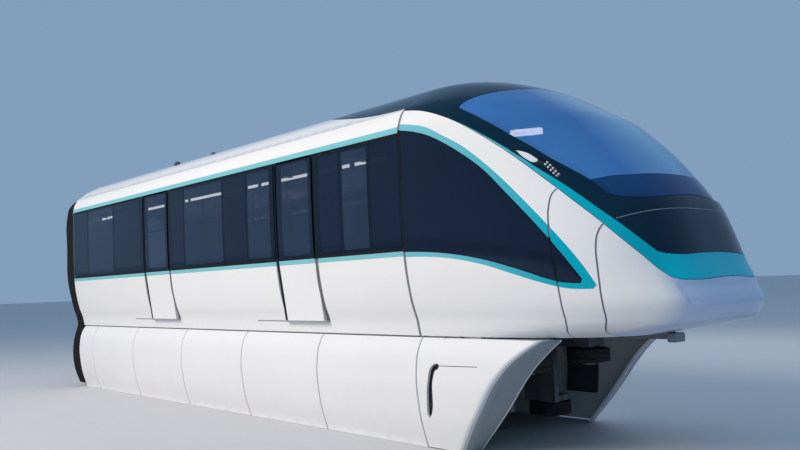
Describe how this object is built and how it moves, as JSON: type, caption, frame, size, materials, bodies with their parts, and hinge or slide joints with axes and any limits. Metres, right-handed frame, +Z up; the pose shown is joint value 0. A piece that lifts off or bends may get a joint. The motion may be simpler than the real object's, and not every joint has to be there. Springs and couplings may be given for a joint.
{
  "type": "monorail car",
  "caption": "End car of a straddle monorail with a streamlined cab, sliding doors, deep skirts over the beam, and two bogies with load and guide tyres.",
  "frame": {"origin": "on the beam's running surface, in the middle of its width, midway between the two axles", "axes": "+X forward to the nose, +Y to the left side, +Z up"},
  "size_m": [13.9004, 3.14, 4.3974],
  "materials": {
    "body_white": "gloss white paint",
    "mask_black": "gloss black composite",
    "window_glass": "dark tinted glazing",
    "windscreen_glass": "blue tinted windscreen",
    "bellows_rubber": "matt black pleated rubber",
    "underframe_grey": "satin grey paint",
    "bogie_grey": "satin dark grey paint",
    "tyre_black": "rubber tyre",
    "interior_trim": "matt grey panels",
    "seat_blue": "blue seat cloth",
    "teal_stripe": "gloss teal paint",
    "lamp_clear": "clear lamp lens",
    "bright_metal": "brushed aluminium"
  },
  "bodies": {
    "car": {"side_wall_right": "body_white", "pane_rear_right": "window_glass", "pane_middle_right": "window_glass", "pane_front_right": "window_glass", "door_rear_right": "body_white", "door_pane_rear_right": "window_glass", "door_front_right": "body_white", "door_pane_front_right": "window_glass", "cab_side_right": "body_white", "corner_panel_right": "body_white", "cab_window_right": "window_glass", "skirt_right": "body_white", "front_skirt_right": "body_white", "bench_right": "seat_blue", "side_wall_left": "body_white", "pane_rear_left": "window_glass", "pane_middle_left": "window_glass", "pane_front_left": "window_glass", "door_rear_left": "body_white", "door_pane_rear_left": "window_glass", "door_front_left": "body_white", "door_pane_front_left": "window_glass", "cab_side_left": "body_white", "corner_panel_left": "body_white", "cab_window_left": "window_glass", "skirt_left": "body_white", "front_skirt_left": "body_white", "bench_left": "seat_blue", "roof_panel": "body_white", "roof_crown": "mask_black", "nose_mask": "mask_black", "nose_band": "teal_stripe", "headlamp_right": "lamp_clear", "headlamp_left": "lamp_clear", "nose_shell": "body_white", "windscreen": "windscreen_glass", "rear_frame": "body_white", "gangway_bellows": "bellows_rubber", "underframe": "underframe_grey", "cab_partition": "interior_trim", "driver_desk": "interior_trim", "driver_seat": "seat_blue", "wheel_box_rear": "interior_trim", "wheel_box_front": "interior_trim"},
    "bogie_rear": {"bogie_frame_rear": "bogie_grey"},
    "wheels_rear": {"wheelset_rear": "tyre_black"},
    "guide_rear_upper_rear_right": {"guide_rear_upper_rear_right": "tyre_black"},
    "guide_rear_upper_rear_left": {"guide_rear_upper_rear_left": "tyre_black"},
    "guide_rear_upper_front_right": {"guide_rear_upper_front_right": "tyre_black"},
    "guide_rear_upper_front_left": {"guide_rear_upper_front_left": "tyre_black"},
    "guide_rear_lower_right": {"guide_rear_lower_right": "tyre_black"},
    "guide_rear_lower_left": {"guide_rear_lower_left": "tyre_black"},
    "bogie_front": {"bogie_frame_front": "bogie_grey"},
    "wheels_front": {"wheelset_front": "tyre_black"},
    "guide_front_upper_rear_right": {"guide_front_upper_rear_right": "tyre_black"},
    "guide_front_upper_rear_left": {"guide_front_upper_rear_left": "tyre_black"},
    "guide_front_upper_front_right": {"guide_front_upper_front_right": "tyre_black"},
    "guide_front_upper_front_left": {"guide_front_upper_front_left": "tyre_black"},
    "guide_front_lower_right": {"guide_front_lower_right": "tyre_black"},
    "guide_front_lower_left": {"guide_front_lower_left": "tyre_black"}
  },
  "joints": [
    {"name": "bogie_rear_yaw", "type": "hinge", "parent": "car", "child": "bogie_rear", "pos_m": [-4.5, 0, 0.08], "axis": [0, 0, 1], "range_deg": [-4, 4]},
    {"name": "wheels_rear_roll", "type": "hinge", "parent": "bogie_rear", "child": "wheels_rear", "pos_m": [-4.5, 0, 0.5], "axis": [0, 1, 0], "continuous": true},
    {"name": "guide_rear_upper_rear_right_roll", "type": "hinge", "parent": "bogie_rear", "child": "guide_rear_upper_rear_right", "pos_m": [-5.12, -0.612, -0.26], "axis": [0, 0, 1], "continuous": true},
    {"name": "guide_rear_upper_rear_left_roll", "type": "hinge", "parent": "bogie_rear", "child": "guide_rear_upper_rear_left", "pos_m": [-5.12, 0.612, -0.26], "axis": [0, 0, 1], "continuous": true},
    {"name": "guide_rear_upper_front_right_roll", "type": "hinge", "parent": "bogie_rear", "child": "guide_rear_upper_front_right", "pos_m": [-3.88, -0.612, -0.26], "axis": [0, 0, 1], "continuous": true},
    {"name": "guide_rear_upper_front_left_roll", "type": "hinge", "parent": "bogie_rear", "child": "guide_rear_upper_front_left", "pos_m": [-3.88, 0.612, -0.26], "axis": [0, 0, 1], "continuous": true},
    {"name": "guide_rear_lower_right_roll", "type": "hinge", "parent": "bogie_rear", "child": "guide_rear_lower_right", "pos_m": [-4.5, -0.612, -0.95], "axis": [0, 0, 1], "continuous": true},
    {"name": "guide_rear_lower_left_roll", "type": "hinge", "parent": "bogie_rear", "child": "guide_rear_lower_left", "pos_m": [-4.5, 0.612, -0.95], "axis": [0, 0, 1], "continuous": true},
    {"name": "bogie_front_yaw", "type": "hinge", "parent": "car", "child": "bogie_front", "pos_m": [4.5, 0, 0.08], "axis": [0, 0, 1], "range_deg": [-4, 4]},
    {"name": "wheels_front_roll", "type": "hinge", "parent": "bogie_front", "child": "wheels_front", "pos_m": [4.5, 0, 0.5], "axis": [0, 1, 0], "continuous": true},
    {"name": "guide_front_upper_rear_right_roll", "type": "hinge", "parent": "bogie_front", "child": "guide_front_upper_rear_right", "pos_m": [3.88, -0.612, -0.26], "axis": [0, 0, 1], "continuous": true},
    {"name": "guide_front_upper_rear_left_roll", "type": "hinge", "parent": "bogie_front", "child": "guide_front_upper_rear_left", "pos_m": [3.88, 0.612, -0.26], "axis": [0, 0, 1], "continuous": true},
    {"name": "guide_front_upper_front_right_roll", "type": "hinge", "parent": "bogie_front", "child": "guide_front_upper_front_right", "pos_m": [5.12, -0.612, -0.26], "axis": [0, 0, 1], "continuous": true},
    {"name": "guide_front_upper_front_left_roll", "type": "hinge", "parent": "bogie_front", "child": "guide_front_upper_front_left", "pos_m": [5.12, 0.612, -0.26], "axis": [0, 0, 1], "continuous": true},
    {"name": "guide_front_lower_right_roll", "type": "hinge", "parent": "bogie_front", "child": "guide_front_lower_right", "pos_m": [4.5, -0.612, -0.95], "axis": [0, 0, 1], "continuous": true},
    {"name": "guide_front_lower_left_roll", "type": "hinge", "parent": "bogie_front", "child": "guide_front_lower_left", "pos_m": [4.5, 0.612, -0.95], "axis": [0, 0, 1], "continuous": true}
  ]
}
